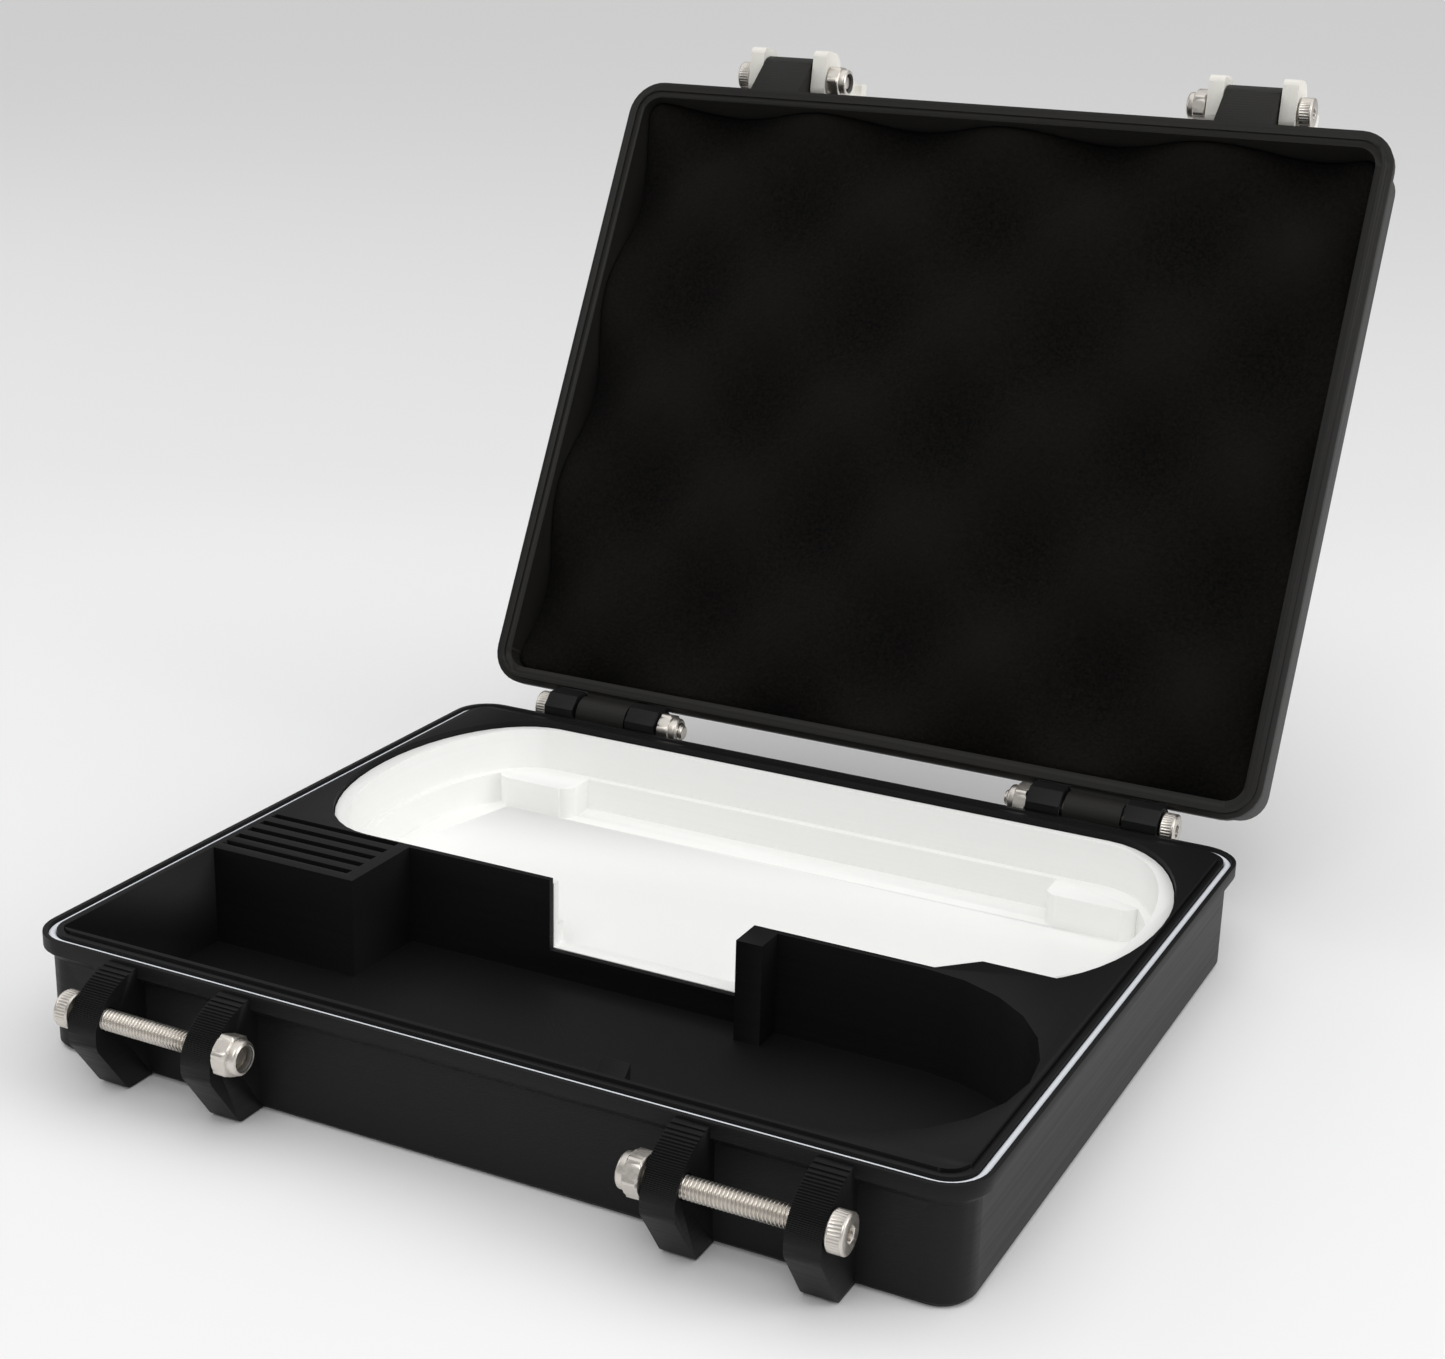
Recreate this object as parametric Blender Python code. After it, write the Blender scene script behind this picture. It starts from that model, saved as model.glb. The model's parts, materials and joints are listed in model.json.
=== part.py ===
"""A small hinged hard case for a handheld game console, printed in plastic and screwed together.

The base holds a gasket, a black organiser and a white tray. The lid holds a sheet of foam.
Two hinges and two latches turn on M4 socket screws with locking nuts. The case is modelled
closed, then the lid is turned open and the latches are folded back by their parent empties.

Run with: blender --background --python part.py
Metres, +Z up, -Y is the front. The origin is the middle of the base's underside.
"""

import math

import bmesh
import bpy
from mathutils import Matrix

MM = 0.001

# ---- Overall sizes -------------------------------------------------------------------------
CASE_WIDTH = 186.0 * MM         # over the rims, along X
CASE_DEPTH = 151.4 * MM         # over the rims, along Y
BASE_HEIGHT = 23.0 * MM         # underside to rim top
LID_HEIGHT = 17.5 * MM          # rim face to lid top
CORNER_RADIUS = 8.0 * MM        # of the rims' outer corners
RIM_GAP = 0.3 * MM              # between the two rims when the lid is closed

# ---- Shell walls and rims ------------------------------------------------------------------
FLANGE_OUT = 1.8 * MM           # how far a rim stands out from its wall
FLANGE_BAND = 2.7 * MM          # height of a rim's upright side
FLOOR_THICKNESS = 1.6 * MM
LID_TOP_THICKNESS = 2.0 * MM
EDGE_CHAMFER = 1.1 * MM         # round the underside and the lid's top
LIP_OUTER = 0.9 * MM            # rim land outside the groove
LIP_INNER = 1.26 * MM           # rim land inside the groove
GROOVE_WIDTH = 1.64 * MM
GROOVE_DEPTH = 2.0 * MM
GASKET_RECESS = 0.48 * MM       # gasket top below the base rim
GASKET_GAP = 0.1 * MM           # gasket to groove walls
RIDGE_WIDTH = 1.0 * MM          # lid ridge that presses on the gasket
RIDGE_DROP = 0.5 * MM

# ---- Screws and nuts (M4) ------------------------------------------------------------------
SCREW_RADIUS = 1.95 * MM
HEAD_RADIUS = 3.5 * MM
HEAD_LENGTH = 3.0 * MM
SOCKET_FLATS = 2.5 * MM
SOCKET_DEPTH = 1.6 * MM
NUT_FLATS = 7.0 * MM
NUT_LENGTH = 4.6 * MM
NUT_HEX_LENGTH = 3.0 * MM
RING_LENGTH = 1.1 * MM
RING_WALL = 0.6 * MM
RING_GAP = 0.1 * MM
NUT_COLLAR_WALL = 0.35 * MM      # steel round the nylon ring
HOLE_GAP = 0.3 * MM             # screw to hole, and screw to nut
FACE_GAP = 0.3 * MM             # head or nut to the face beside it
LONG_SCREW = 35.0 * MM
SHORT_SCREW = 25.0 * MM

# ---- Hinges --------------------------------------------------------------------------------
HINGE_CENTRE = 59.6 * MM        # |X| of a hinge's middle
HINGE_OUT = 4.2 * MM            # pin axis behind the rims
HINGE_RISE = 0.2 * MM           # pin axis above the base rim
KNUCKLE_RADIUS = 4.0 * MM
KNUCKLE_WIDTH = 12.6 * MM
EAR_GAP = 0.7 * MM              # knuckle to ear
EAR_WIDTH = 7.4 * MM
EAR_APOTHEM = 4.4 * MM          # an ear is an octagon round the pin
EAR_RELIEF = 0.35 * MM          # lid rim to the ears' corners
STOP_GAP = 0.1 * MM             # lid stop to base rim when fully open
STOP_DROP = 2.2 * MM            # where the stop meets the rim, below the pin
GUSSET_RISE = 13.0 * MM         # height of the knuckle's web on the lid wall
LID_OPEN = 117.0                # degrees from closed

# ---- Latches -------------------------------------------------------------------------------
LATCH_CENTRE = 57.4 * MM        # |X| of a latch's middle
CATCH_OUT = 8.05 * MM           # catch screw in front of the rims
CATCH_DROP = 7.3 * MM           # catch screw below the base rim
CATCH_GAP = 18.6 * MM           # clear space between a pair of catch lugs
CATCH_LUG_WIDTH = 6.3 * MM
CATCH_NOSE_WALL = 1.2 * MM      # plastic in front of the catch screw's hole
PIVOT_OUT = 8.0 * MM            # latch screw in front of the rims
PIVOT_RISE = 12.2 * MM          # latch screw above the lid's rim face
LID_LUG_WIDTH = 12.6 * MM
LID_LUG_RADIUS = 5.2 * MM
LID_LUG_FOOT = 3.0 * MM         # raked face's foot above the lid's rim face
LATCH_EAR_WIDTH = 3.6 * MM
LATCH_SIDE_GAP = 0.3 * MM       # latch ear to lid lug
LEVER_SIDE_GAP = 0.5 * MM       # lever to catch lugs
LATCH_BACK = 4.4 * MM           # lever's outer face from the pivot
LATCH_FRONT = 2.6 * MM          # lever's inner face from the pivot
LATCH_LOBE = 7.0 * MM           # ear's inner face from the pivot
LATCH_LOBE_END = 5.0 * MM       # ear's lobe below the pivot
LATCH_TOP = 3.8 * MM            # ear's upper end from the pivot
LEVER_START = 6.6 * MM          # where the lever begins, from the pivot
TAB_LENGTH = 5.4 * MM           # lever past the catch screw
TAB_FLARE = 1.4 * MM
LATCH_FOLD = 162.0              # degrees from hooked
PRINT_LAYER = 0.28 * MM         # steps on the catch lugs' sloping tops

# ---- Organiser -----------------------------------------------------------------------------
FIT_GAP = 0.3 * MM              # round the tray and the foam, and under the organiser
ORGANISER_GAP = 0.15 * MM       # organiser to the base's rim, all round
ORGANISER_PROUD = 0.6 * MM      # top above the base rim
ORGANISER_FLOOR = 1.2 * MM
ORGANISER_WALL = 0.95 * MM      # thin wall round the pockets
DIVIDER_THICKNESS = 1.3 * MM
NOTCH_LEFT = -22.0 * MM
NOTCH_RIGHT = 21.8 * MM
NOTCH_SILL = 14.3 * MM          # notch bottom below the base rim
POST_WIDTH = 5.4 * MM
POST_REACH = 6.4 * MM           # post in front of the divider's face
WEDGE_REACH = 6.8 * MM
WEDGE_DROP = 0.5 * MM
CARD_BLOCK_WIDTH = 33.4 * MM
CARD_BLOCK_DEPTH = 19.4 * MM
CARD_COUNT = 5
CARD_PITCH = 4.0 * MM
CARD_SLOT = 1.8 * MM
CARD_LENGTH = 30.4 * MM
CARD_DEPTH = 17.0 * MM

# ---- Console tray --------------------------------------------------------------------------
TRAY_DROP = 0.7 * MM            # tray's top below the base rim
TRAY_BACK = 6.2 * MM            # tray's back edge in front of the rims' back edge
TRAY_WIDTH = 177.2 * MM
TRAY_LENGTH = 76.2 * MM         # along Y
TRAY_END = 22.6 * MM            # how far each rounded end reaches
TRAY_END_WALL = 3.3 * MM
TRAY_SIDE_WALL = 1.8 * MM
TRAY_FLOOR_DROP = 17.0 * MM     # floor below the base rim
TRAY_LEDGE_DROP = 10.0 * MM
TRAY_LEDGE = 1.8 * MM
PAD_INNER = 56.5 * MM           # |X| of the pads' inner ends
PAD_OUTER = 76.0 * MM
PAD_REACH = 12.0 * MM           # pads' front faces from the tray's back edge
PAD_RADIUS = 3.0 * MM
TRAY_CORNER_CUT = 6.7 * MM      # flat on the tray's right front corner
TRAY_CUT_START = 57.8 * MM

# ---- Foam ----------------------------------------------------------------------------------
FOAM_RECESS = 1.5 * MM          # foam peaks behind the lid's rim face

ARC_STEPS = 8                   # straight pieces in a quarter circle
SIDES = (("left", -1), ("right", 1))

RIM_INNER = LIP_OUTER + GROOVE_WIDTH + LIP_INNER
LID_FACE = BASE_HEIGHT + RIM_GAP
LID_TOP = LID_FACE + LID_HEIGHT
HALF_DEPTH = CASE_DEPTH / 2
HINGE_Y = HALF_DEPTH + HINGE_OUT
HINGE_Z = BASE_HEIGHT + HINGE_RISE
CATCH_Y = -HALF_DEPTH - CATCH_OUT
CATCH_Z = BASE_HEIGHT - CATCH_DROP
PIVOT_Y = -HALF_DEPTH - PIVOT_OUT
PIVOT_Z = LID_FACE + PIVOT_RISE
EXTRA = 2.0 * MM                # how far a cutter runs past what it cuts


# ---- Scene and helpers ---------------------------------------------------------------------

def clear_scene():
    for thing in list(bpy.data.objects):
        bpy.data.objects.remove(thing, do_unlink=True)


def new_collection(name):
    collection = bpy.data.collections.new(name)
    bpy.context.scene.collection.children.link(collection)
    return collection


def add_object(name, mesh, collection):
    thing = bpy.data.objects.new(name, mesh)
    collection.objects.link(thing)
    if collection is cutters:
        thing.hide_render = True
        thing.display_type = "WIRE"
    return thing


def material(name, colour, roughness, metallic=0.0):
    made = bpy.data.materials.new(name)
    made.use_nodes = True
    shader = made.node_tree.nodes["Principled BSDF"]
    shader.inputs["Base Color"].default_value = (*colour, 1.0)
    shader.inputs["Roughness"].default_value = roughness
    shader.inputs["Metallic"].default_value = metallic
    made.diffuse_color = (*colour, 1.0)
    return made


def arc(centre, radius, start, end, steps=ARC_STEPS):
    """Points on an arc, with the angles in degrees."""
    angles = [math.radians(start + (end - start) * i / steps) for i in range(steps + 1)]
    return [(centre[0] + radius * math.cos(a), centre[1] + radius * math.sin(a)) for a in angles]


def rounded_rectangle(width, depth, radius):
    """Outline of a rectangle round the origin with rounded corners."""
    x = width / 2 - radius
    y = depth / 2 - radius
    corners = ((x, y, 0), (-x, y, 90), (-x, -y, 180), (x, -y, 270))
    return [p for cx, cy, a in corners for p in arc((cx, cy), radius, a, a + 90)]


def inset_rim(inset):
    """Outline of the rims' outer edge, moved in by inset."""
    radius = CORNER_RADIUS - inset
    return rounded_rectangle(CASE_WIDTH - 2 * inset, CASE_DEPTH - 2 * inset, radius)


def rounded_polygon(corners):
    """Outline through corners given as (u, v, radius), each rounded by its radius."""
    points = []
    for i, (u, v, radius) in enumerate(corners):
        before = corners[i - 1]
        after = corners[(i + 1) % len(corners)]
        if radius <= 0:
            points.append((u, v))
            continue
        angle_in = math.atan2(before[1] - v, before[0] - u)
        angle_out = math.atan2(after[1] - v, after[0] - u)
        turn = (angle_out - angle_in + math.pi) % (2 * math.pi) - math.pi
        half = abs(turn) / 2
        middle = angle_in + turn / 2
        reach = radius / math.sin(half)
        centre = (u + reach * math.cos(middle), v + reach * math.sin(middle))
        sweep = math.pi - abs(turn)
        first = middle + math.pi + math.copysign(sweep / 2, turn)
        last = middle + math.pi - math.copysign(sweep / 2, turn)
        steps = max(2, round(ARC_STEPS * sweep / (math.pi / 2)))
        points += arc(centre, radius, math.degrees(first), math.degrees(last), steps)
    return points


def mesh_of_curve(name, curve_object, collection):
    """Turn a filled curve into a welded closed mesh at the same place."""
    bpy.context.view_layer.update()
    graph = bpy.context.evaluated_depsgraph_get()
    mesh = bpy.data.meshes.new_from_object(curve_object.evaluated_get(graph))
    mesh.name = name
    work = bmesh.new()
    work.from_mesh(mesh)
    bmesh.ops.remove_doubles(work, verts=work.verts, dist=0.001 * MM)
    bmesh.ops.recalc_face_normals(work, faces=work.faces)
    work.to_mesh(mesh)
    work.free()
    mesh.transform(curve_object.matrix_world)
    bpy.data.objects.remove(curve_object, do_unlink=True)
    return add_object(name, mesh, collection)


def plate(name, outlines, low, high, collection, along="Z"):
    """A flat outline, with any holes after it, filled between low and high.

    Along Z the outline is in X and Y. Along X it is in Y and Z.
    """
    curve = bpy.data.curves.new(name, "CURVE")
    curve.dimensions = "2D"
    curve.fill_mode = "BOTH"
    curve.extrude = (high - low) / 2
    for outline in outlines:
        spline = curve.splines.new("POLY")
        spline.points.add(len(outline) - 1)
        for point, (u, v) in zip(spline.points, outline):
            point.co = (u, v, 0.0, 1.0)
        spline.use_cyclic_u = True
    thing = bpy.data.objects.new(name, curve)
    bpy.context.scene.collection.objects.link(thing)
    middle = (low + high) / 2
    if along == "Z":
        thing.matrix_world = Matrix.Translation((0, 0, middle))
    else:
        turn = Matrix(((0, 0, 1), (1, 0, 0), (0, 1, 0))).to_4x4()
        thing.matrix_world = Matrix.Translation((middle, 0, 0)) @ turn
    return mesh_of_curve(name, thing, collection)


def rod(name, radius, start, end, y, z, collection, sides=4 * ARC_STEPS, turn=0.0):
    """A cylinder, or a prism, along X."""
    mesh = bpy.data.meshes.new(name)
    work = bmesh.new()
    bmesh.ops.create_cone(work, cap_ends=True, segments=sides, radius1=radius, radius2=radius,
                          depth=abs(end - start))
    work.to_mesh(mesh)
    work.free()
    mesh.transform(Matrix.Rotation(math.radians(90), 4, "Y") @ Matrix.Rotation(turn, 4, "Z"))
    mesh.transform(Matrix.Translation(((start + end) / 2, y, z)))
    return add_object(name, mesh, collection)


def rounded_block(name, inset, low, high, collection, chamfer_low=0.0, chamfer_high=0.0):
    """A block with the rims' outline moved in by inset, its ends chamfered where asked."""
    mesh = bpy.data.meshes.new(name)
    work = bmesh.new()
    bmesh.ops.create_cube(work, size=1.0)
    size = (CASE_WIDTH - 2 * inset, CASE_DEPTH - 2 * inset, high - low)
    bmesh.ops.scale(work, vec=size, verts=work.verts)
    bmesh.ops.translate(work, vec=(0, 0, (low + high) / 2), verts=work.verts)
    upright = [e for e in work.edges if abs(e.verts[0].co.z - e.verts[1].co.z) > size[2] / 2]
    bmesh.ops.bevel(work, geom=upright, offset=CORNER_RADIUS - inset, segments=ARC_STEPS,
                    affect="EDGES", profile=0.5)
    for level, chamfer in ((low, chamfer_low), (high, chamfer_high)):
        if chamfer > 0:
            ring = [e for e in work.edges if all(abs(v.co.z - level) < 0.001 * MM for v in e.verts)]
            bmesh.ops.bevel(work, geom=ring, offset=chamfer, segments=1, affect="EDGES")
    work.to_mesh(mesh)
    work.free()
    return add_object(name, mesh, collection)


def combine(target, other, operation):
    """Apply a Boolean of the other object to the target, and remove the other object."""
    modifier = target.modifiers.new(operation.lower(), "BOOLEAN")
    modifier.operation = operation
    modifier.solver = "EXACT"
    modifier.object = other
    bpy.context.view_layer.update()
    graph = bpy.context.evaluated_depsgraph_get()
    mesh = bpy.data.meshes.new_from_object(target.evaluated_get(graph))
    target.modifiers.clear()
    old = target.data
    mesh.name = old.name
    target.data = mesh
    bpy.data.meshes.remove(old)
    bpy.data.objects.remove(other, do_unlink=True)


def cut(target, *others):
    for other in others:
        combine(target, other, "DIFFERENCE")


def join(target, *others):
    for other in others:
        combine(target, other, "UNION")


def finish(thing, look, smooth=True):
    """Give a sub-part its material, and smooth its round sides but not its flats."""
    thing.data.materials.clear()
    thing.data.materials.append(look)
    if smooth:
        bpy.context.view_layer.objects.active = thing
        with bpy.context.temp_override(object=thing, selected_objects=[thing],
                                       selected_editable_objects=[thing], active_object=thing):
            bpy.ops.object.shade_smooth_by_angle(angle=math.radians(28))
    return thing


def mirrored_span(side, low, high):
    """A span of |X| on one side of the case, lowest end first."""
    return (low, high) if side > 0 else (-high, -low)


# ---- Shells --------------------------------------------------------------------------------

def base_shell():
    """Tub with a rim, a gasket groove, hinge ears at the back and catch lugs at the front."""
    shell = rounded_block("base_shell", FLANGE_OUT, 0, BASE_HEIGHT, parts, EDGE_CHAMFER)
    flange_low = BASE_HEIGHT - FLANGE_BAND - FLANGE_OUT
    join(shell, rounded_block("flange", 0, flange_low, BASE_HEIGHT, cutters, FLANGE_OUT))
    for _, side in SIDES:
        for low, high in ear_spans():
            join(shell, plate("ear", [ear_outline()], *mirrored_span(side, low, high), cutters, "X"))
        for low, high in catch_lug_spans():
            join(shell, plate("lug", [catch_outline()], *mirrored_span(side, low, high), cutters, "X"))
    cut(shell, rounded_block("cavity", RIM_INNER, FLOOR_THICKNESS, BASE_HEIGHT + EXTRA, cutters))
    groove = [inset_rim(LIP_OUTER), inset_rim(LIP_OUTER + GROOVE_WIDTH)]
    cut(shell, plate("groove", groove, BASE_HEIGHT - GROOVE_DEPTH, BASE_HEIGHT + EXTRA, cutters))
    hole = SCREW_RADIUS + HOLE_GAP
    for _, side in SIDES:
        for low, high in ear_spans():
            span = mirrored_span(side, low - EXTRA, high + EXTRA)
            cut(shell, rod("pin_hole", hole, *span, HINGE_Y, HINGE_Z, cutters))
        for low, high in catch_lug_spans():
            span = mirrored_span(side, low - EXTRA, high + EXTRA)
            cut(shell, rod("catch_hole", hole, *span, CATCH_Y, CATCH_Z, cutters))
    return finish(shell, black_plastic)


def ear_spans():
    """|X| spans of a hinge's two ears."""
    inner = KNUCKLE_WIDTH / 2 + EAR_GAP
    outer = inner + EAR_WIDTH
    return ((HINGE_CENTRE - outer, HINGE_CENTRE - inner), (HINGE_CENTRE + inner, HINGE_CENTRE + outer))


def catch_lug_spans():
    """|X| spans of a latch's two catch lugs."""
    inner = CATCH_GAP / 2
    outer = inner + CATCH_LUG_WIDTH
    return ((LATCH_CENTRE - outer, LATCH_CENTRE - inner), (LATCH_CENTRE + inner, LATCH_CENTRE + outer))


def ear_outline():
    """Octagon round the pin, with a web that slopes at 45 degrees to the base's back wall."""
    half_side = EAR_APOTHEM * math.tan(math.radians(22.5))
    a = EAR_APOTHEM
    wall = -HINGE_OUT - FLANGE_OUT - LIP_OUTER / 2
    below_rim = -HINGE_RISE - RIM_GAP
    foot = -half_side - (a - wall)
    corners = [(-a, below_rim), (-a, half_side), (-half_side, a), (half_side, a), (a, half_side),
               (a, -half_side), (wall, foot), (wall, below_rim)]
    return [(HINGE_Y + u, HINGE_Z + v) for u, v in corners]


def catch_outline():
    """Side view of a catch lug: a stepped top, a nose round the screw and a raked underside."""
    top = BASE_HEIGHT - 0.7 * MM
    nose = SCREW_RADIUS + HOLE_GAP + CATCH_NOSE_WALL
    tip = 0.25 * MM             # above the underside
    wall = -HALF_DEPTH + FLANGE_OUT + LIP_OUTER / 2
    reach = -(CATCH_Y - nose) - HALF_DEPTH
    drop = top - CATCH_Z + 2.6 * MM
    steps = round(drop / PRINT_LAYER)
    points = [(wall, top)]
    for i in range(steps):
        across = math.sin(math.acos(1 - (i + 0.5) / steps)) ** 1.15
        y = -HALF_DEPTH - reach * across
        points.append((y, top - drop * i / steps))
        points.append((y, top - drop * (i + 1) / steps))
    nose_y = CATCH_Y - nose
    raked = [(nose_y, CATCH_Z - 4.6 * MM, 3.0 * MM), (CATCH_Y + 3.9 * MM, tip, 1.6 * MM),
             (wall, tip, 0.0), (wall, top, 0.0), (nose_y, top, 0.0)]
    return points + [p for p in rounded_polygon(raked) if p[1] < CATCH_Z - 2.7 * MM]


def lid_shell():
    """Shallow tub, closed side up, with a sealing ridge, hinge knuckles and latch lugs."""
    shell = rounded_block("lid_shell", FLANGE_OUT, LID_FACE, LID_TOP, parts, 0, EDGE_CHAMFER)
    flange_high = LID_FACE + FLANGE_BAND + FLANGE_OUT
    join(shell, rounded_block("flange", 0, LID_FACE, flange_high, cutters, 0, FLANGE_OUT))
    relief = EAR_APOTHEM / math.cos(math.radians(22.5)) + EAR_RELIEF
    for _, side in SIDES:
        for low, high in ear_spans():
            span = mirrored_span(side, low - EAR_RELIEF, high + EAR_RELIEF)
            cut(shell, rod("relief", relief, *span, HINGE_Y, HINGE_Z, cutters))
        half = KNUCKLE_WIDTH / 2
        span = mirrored_span(side, HINGE_CENTRE - half, HINGE_CENTRE + half)
        join(shell, plate("knuckle", [knuckle_outline()], *span, cutters, "X"))
        half = LID_LUG_WIDTH / 2
        span = mirrored_span(side, LATCH_CENTRE - half, LATCH_CENTRE + half)
        join(shell, plate("lug", [lid_lug_outline()], *span, cutters, "X"))
    cavity_top = LID_TOP - LID_TOP_THICKNESS
    cut(shell, rounded_block("cavity", RIM_INNER, LID_FACE - EXTRA, cavity_top, cutters))
    middle = LIP_OUTER + GROOVE_WIDTH / 2
    ridge = [inset_rim(middle - RIDGE_WIDTH / 2), inset_rim(middle + RIDGE_WIDTH / 2)]
    join(shell, plate("ridge", ridge, LID_FACE - RIDGE_DROP, LID_FACE + RIDGE_DROP, cutters))
    hole = SCREW_RADIUS + HOLE_GAP
    for _, side in SIDES:
        half = KNUCKLE_WIDTH / 2 + EXTRA
        span = mirrored_span(side, HINGE_CENTRE - half, HINGE_CENTRE + half)
        cut(shell, rod("pin_hole", hole, *span, HINGE_Y, HINGE_Z, cutters))
        half = LID_LUG_WIDTH / 2 + EXTRA
        span = mirrored_span(side, LATCH_CENTRE - half, LATCH_CENTRE + half)
        cut(shell, rod("pivot_hole", hole, *span, PIVOT_Y, PIVOT_Z, cutters))
    return finish(shell, black_plastic)


def knuckle_outline():
    """Barrel round the pin, with a heel that meets the base rim when the lid is fully open."""
    heel_y = -HINGE_OUT + STOP_GAP
    heel_reach = math.hypot(heel_y, STOP_DROP)
    heel_angle = math.degrees(math.atan2(-STOP_DROP, heel_y)) + LID_OPEN
    heel = (heel_reach * math.cos(math.radians(heel_angle)),
            heel_reach * math.sin(math.radians(heel_angle)))
    wall = -HINGE_OUT - FLANGE_OUT - LIP_OUTER / 2
    above_face = RIM_GAP - HINGE_RISE + 0.05 * MM
    start = 180 - math.degrees(math.asin(above_face / KNUCKLE_RADIUS))
    round_side = arc((0, 0), KNUCKLE_RADIUS, start, heel_angle % 360 - 22, 2 * ARC_STEPS)
    outer_foot = (KNUCKLE_RADIUS, RIM_GAP)
    corners = [(wall, above_face), *round_side, heel, outer_foot, (wall, GUSSET_RISE)]
    return [(HINGE_Y + u, HINGE_Z + v) for u, v in corners]


def lid_lug_outline():
    """Round nose about the latch screw, joined to the lid by a flat top and a raked face."""
    wall = PIVOT_OUT + FLANGE_OUT + LIP_OUTER / 2
    foot = (PIVOT_OUT, LID_LUG_FOOT - PIVOT_RISE)
    far = math.hypot(*foot)
    tangent = math.degrees(math.atan2(foot[1], foot[0])) - math.degrees(math.acos(LID_LUG_RADIUS / far))
    nose = arc((0, 0), LID_LUG_RADIUS, 90, tangent + 360, 2 * ARC_STEPS)
    corners = [(wall, LID_LUG_RADIUS), *nose, foot, (wall, foot[1])]
    return [(PIVOT_Y + u, PIVOT_Z + v) for u, v in corners]


def gasket():
    """Soft cord ring lying in the base's groove."""
    low = BASE_HEIGHT - GROOVE_DEPTH + GASKET_GAP
    high = BASE_HEIGHT - GASKET_RECESS
    ring = [inset_rim(LIP_OUTER + GASKET_GAP), inset_rim(LIP_OUTER + GROOVE_WIDTH - GASKET_GAP)]
    return finish(plate("gasket", ring, low, high, parts), white_rubber)


# ---- What the base holds -------------------------------------------------------------------

def tray_top_edge():
    return HALF_DEPTH - TRAY_BACK


def tray_outline(end_inset, side_inset, grow=0.0):
    """Straight sides and elliptical ends, with a flat across the right front corner.

    The walls' thicknesses move it inwards, and grow moves it outwards.
    """
    back = tray_top_edge() - side_inset + grow
    front = tray_top_edge() - TRAY_LENGTH + side_inset - grow
    centre = (back + front) / 2
    half = (back - front) / 2
    reach = TRAY_END - end_inset + grow
    x = TRAY_WIDTH / 2 - TRAY_END
    steps = 3 * ARC_STEPS
    angles = [math.radians(180 * i / steps) for i in range(steps + 1)]
    left = [(-x - reach * math.sin(a), centre + half * math.cos(a)) for a in angles]
    right = [(x + reach * math.sin(a), centre - half * math.cos(a)) for a in angles]
    flat = front + TRAY_CORNER_CUT
    start = TRAY_CUT_START - side_inset + grow
    kept = [(u, v) for u, v in right if v > flat]
    meet = x + reach * math.sqrt(1 - ((centre - flat) / half) ** 2)
    return left + [(start, front), (start + TRAY_CORNER_CUT, flat), (meet, flat)] + kept


def console_tray():
    """White tray: a deep well with a ledge half way down and two pads at the back."""
    low = FLOOR_THICKNESS + 2 * FIT_GAP + ORGANISER_FLOOR
    floor = BASE_HEIGHT - TRAY_FLOOR_DROP
    ledge = BASE_HEIGHT - TRAY_LEDGE_DROP
    tray = plate("console_tray", [tray_outline(0, 0)], low, BASE_HEIGHT - TRAY_DROP, parts)
    upper = tray_outline(TRAY_END_WALL, TRAY_SIDE_WALL)
    cut(tray, plate("upper_well", [upper], ledge, BASE_HEIGHT + EXTRA, cutters))
    lower = [tray_outline(TRAY_END_WALL + TRAY_LEDGE, TRAY_SIDE_WALL + TRAY_LEDGE)]
    well = plate("lower_well", lower, floor, BASE_HEIGHT + EXTRA, cutters)
    pad_back = tray_top_edge() + EXTRA
    pad_front = tray_top_edge() - PAD_REACH
    for side in (-1, 1):
        ends = sorted((side * PAD_INNER, side * PAD_OUTER))
        corners = [(ends[0], pad_front, PAD_RADIUS), (ends[1], pad_front, PAD_RADIUS),
                   (ends[1], pad_back, 0), (ends[0], pad_back, 0)]
        cut(well, plate("pad", [rounded_polygon(corners)], floor - EXTRA, ledge, cutters))
    cut(tray, well)
    front = tray_top_edge() - TRAY_LENGTH
    sill = BASE_HEIGHT - NOTCH_SILL
    inner = front + TRAY_SIDE_WALL + TRAY_LEDGE + 0.5 * MM
    notch = [(NOTCH_LEFT, front - EXTRA), (NOTCH_RIGHT, front - EXTRA), (NOTCH_RIGHT, inner),
             (NOTCH_LEFT, inner)]
    cut(tray, plate("notch", [notch], sill, BASE_HEIGHT + EXTRA, cutters))
    return finish(tray, white_plastic)


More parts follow.
